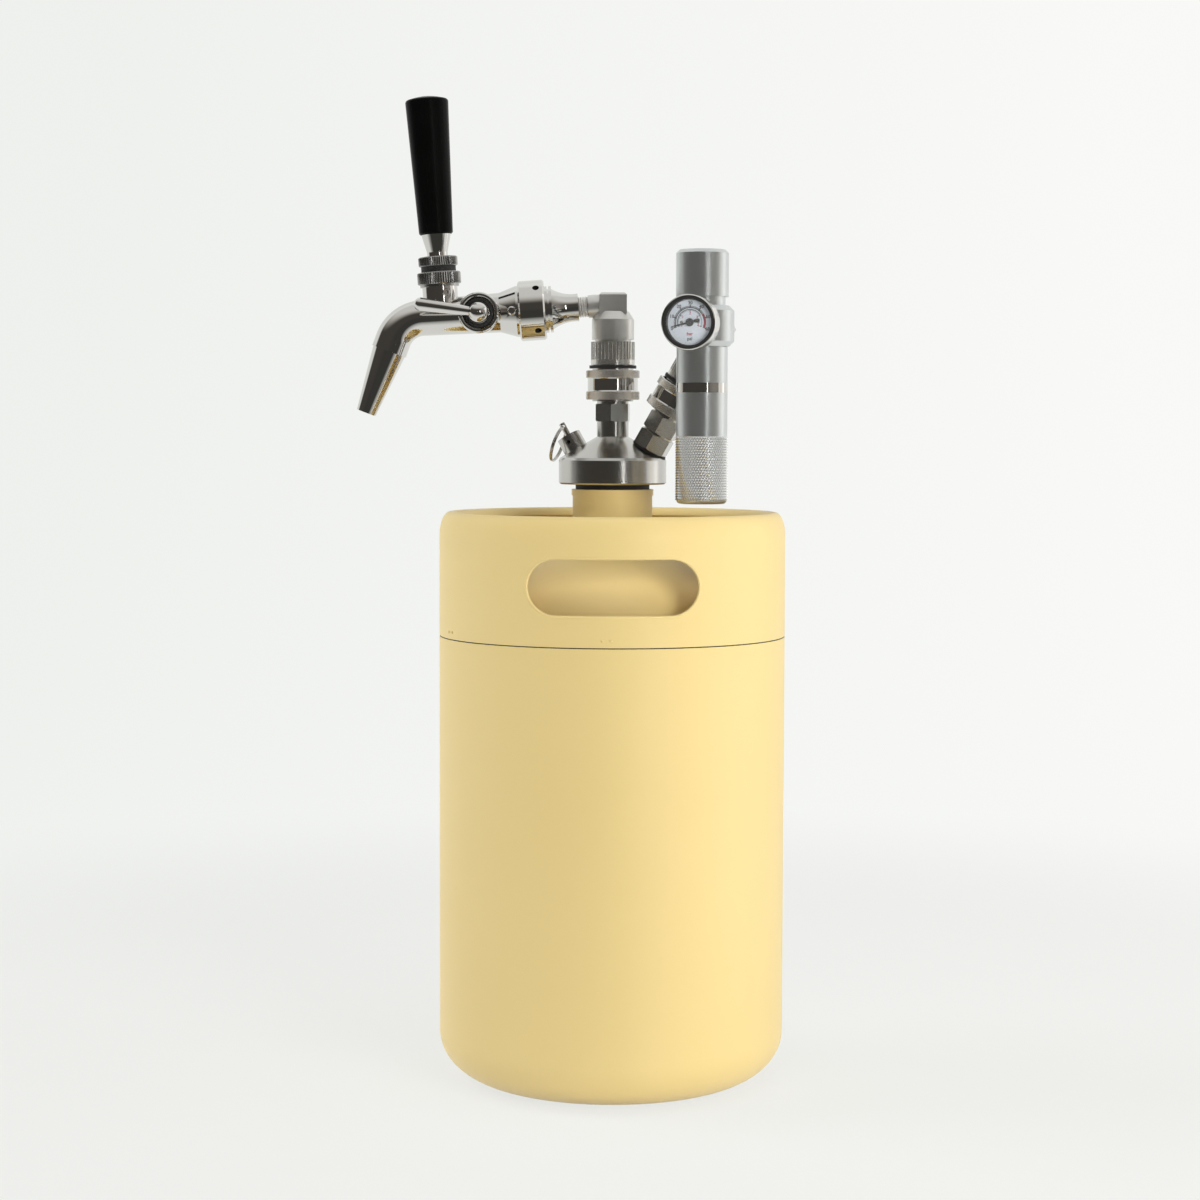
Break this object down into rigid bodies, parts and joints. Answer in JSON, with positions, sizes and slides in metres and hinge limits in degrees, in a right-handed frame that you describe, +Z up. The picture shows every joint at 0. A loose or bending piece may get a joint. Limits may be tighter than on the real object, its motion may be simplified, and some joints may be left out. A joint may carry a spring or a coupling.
{
  "type": "insulated mini keg",
  "caption": "Double-walled mini keg with a collar for the hands, a screw lid, a lever tap with flow control, a relief valve and a cartridge regulator with a gauge.",
  "frame": {"origin": "centre of the keg's flat base on the floor", "axes": "+Z up the keg's axis, the tap points to -X, the front is -Y"},
  "size_m": [0.2106, 0.17, 0.4826],
  "materials": {
    "powder_coat": "matte cream powder coat",
    "liner_steel": "drawn stainless liner",
    "turned_steel": "turned stainless",
    "cast_steel": "bead blasted stainless",
    "knurled_steel": "knurled stainless",
    "polished_steel": "mirror polished stainless",
    "black_rubber": "black rubber",
    "black_handle": "gloss black",
    "satin_aluminium": "satin anodised aluminium",
    "cartridge_steel": "plated steel",
    "dial_white": "printed dial",
    "needle_black": "black",
    "gauge_glass": "clear lens"
  },
  "bodies": {
    "keg": {"outer_shell": "powder_coat", "base_disc": "powder_coat", "inner_vessel": "liner_steel", "shoulder_dome": "powder_coat", "top_collar": "powder_coat", "neck": "powder_coat"},
    "lid": {"lid_cap": "turned_steel", "lid_seal": "black_rubber", "dip_tube": "liner_steel", "liquid_post": "turned_steel", "gas_post": "turned_steel", "gas_adapter": "turned_steel", "gas_washer": "black_rubber", "post_poppets": "turned_steel", "poppet_springs": "turned_steel", "relief_body": "turned_steel", "relief_spring": "turned_steel"},
    "relief_stem": {"relief_stem": "turned_steel"},
    "pull_ring": {"pull_ring": "turned_steel"},
    "tap": {"liquid_elbow": "cast_steel", "liquid_cup": "knurled_steel", "liquid_coupler": "turned_steel", "liquid_wiper": "black_rubber", "liquid_lock_balls": "turned_steel", "tap_shank": "polished_steel", "coupling_nut": "polished_steel", "tap_body": "polished_steel", "spout_nozzle": "polished_steel", "bonnet": "knurled_steel", "bonnet_gasket": "black_rubber", "bonnet_cap": "knurled_steel", "lever_pin": "turned_steel", "flow_collar": "polished_steel"},
    "liquid_collar": {"liquid_lock_collar": "knurled_steel"},
    "handle": {"lever": "polished_steel", "handle_ferrule": "polished_steel", "tap_handle": "black_handle"},
    "shuttle": {"shuttle": "turned_steel", "shuttle_seal": "black_rubber"},
    "flow_lever": {"flow_lever": "polished_steel"},
    "regulator": {"gas_elbow": "cast_steel", "gas_cup": "knurled_steel", "gas_coupler": "turned_steel", "gas_wiper": "black_rubber", "gas_lock_balls": "turned_steel", "regulator_body": "satin_aluminium", "regulator_piston": "satin_aluminium", "adjust_spring": "turned_steel", "pierce_pin": "turned_steel", "gas_cartridge": "cartridge_steel", "gauge_case": "polished_steel", "gauge_bezel": "polished_steel", "gauge_lens": "gauge_glass", "gauge_dial": "dial_white"},
    "gas_collar": {"gas_lock_collar": "knurled_steel"},
    "knob": {"regulator_knob": "satin_aluminium"},
    "holder": {"cartridge_holder": "satin_aluminium", "holder_ring": "polished_steel"},
    "needle": {"gauge_needle": "needle_black"}
  },
  "joints": [
    {"name": "lid_lift", "type": "slide", "parent": "keg", "child": "lid", "axis": [0, 0, 1], "range_m": [0, 0.29]},
    {"name": "relief_pull", "type": "slide", "parent": "lid", "child": "relief_stem", "axis": [-0.4825, 0.1311, 0.866], "range_m": [0, 0.0024], "stiffness_N_per_m": 1500, "springref_m": -0.002},
    {"name": "pull_ring_swing", "type": "hinge", "parent": "relief_stem", "child": "pull_ring", "pos_m": [-0.02413, 0.00656, 0.32206], "axis": [0.2622, 0.965, 0], "range_deg": [0, 100]},
    {"name": "tap_swivel", "type": "hinge", "parent": "lid", "child": "tap", "pos_m": [0, 0, 0.32484], "axis": [0, 0, 1], "range_deg": [-80, 60]},
    {"name": "liquid_collar_lift", "type": "slide", "parent": "tap", "child": "liquid_collar", "axis": [0, 0, 1], "range_m": [0, 0.0034], "stiffness_N_per_m": 800, "springref_m": -0.003},
    {"name": "handle_tilt", "type": "hinge", "parent": "tap", "child": "handle", "pos_m": [-0.08567, 0, 0.40271], "axis": [0, -1, 0], "range_deg": [0, 30]},
    {"name": "shuttle_slide", "type": "slide", "parent": "tap", "child": "shuttle", "axis": [0.9976, 0, 0.0698], "range_m": [0, 0.01242]},
    {"name": "flow_turn", "type": "hinge", "parent": "tap", "child": "flow_lever", "pos_m": [-0.06514, 0, 0.37718], "axis": [0, -1, 0], "range_deg": [-90, 90]},
    {"name": "regulator_swivel", "type": "hinge", "parent": "lid", "child": "regulator", "pos_m": [0.01766, -0.0048, 0.31045], "axis": [0.4825, -0.1311, 0.866], "range_deg": [-15, 15]},
    {"name": "gas_collar_lift", "type": "slide", "parent": "regulator", "child": "gas_collar", "axis": [0.4825, -0.1311, 0.866], "range_m": [0, 0.0034], "stiffness_N_per_m": 800, "springref_m": -0.003},
    {"name": "knob_turn", "type": "hinge", "parent": "regulator", "child": "knob", "pos_m": [0.04201, -0.04354, 0.36874], "axis": [0, 0, 1], "range_deg": [-360, 720]},
    {"name": "holder_turn", "type": "hinge", "parent": "regulator", "child": "holder", "pos_m": [0.04201, -0.04354, 0.36874], "axis": [0, 0, 1], "range_deg": [0, 1080]},
    {"name": "needle_turn", "type": "hinge", "parent": "regulator", "child": "needle", "pos_m": [0.04201, -0.04354, 0.37064], "axis": [-0.2622, -0.965, 0], "range_deg": [-238, 32], "stiffness_Nm_per_rad": 0.001}
  ],
  "couplings": [
    {"joint": "shuttle_slide", "follows": "handle_tilt", "m_per_rad": 0.023727}
  ]
}
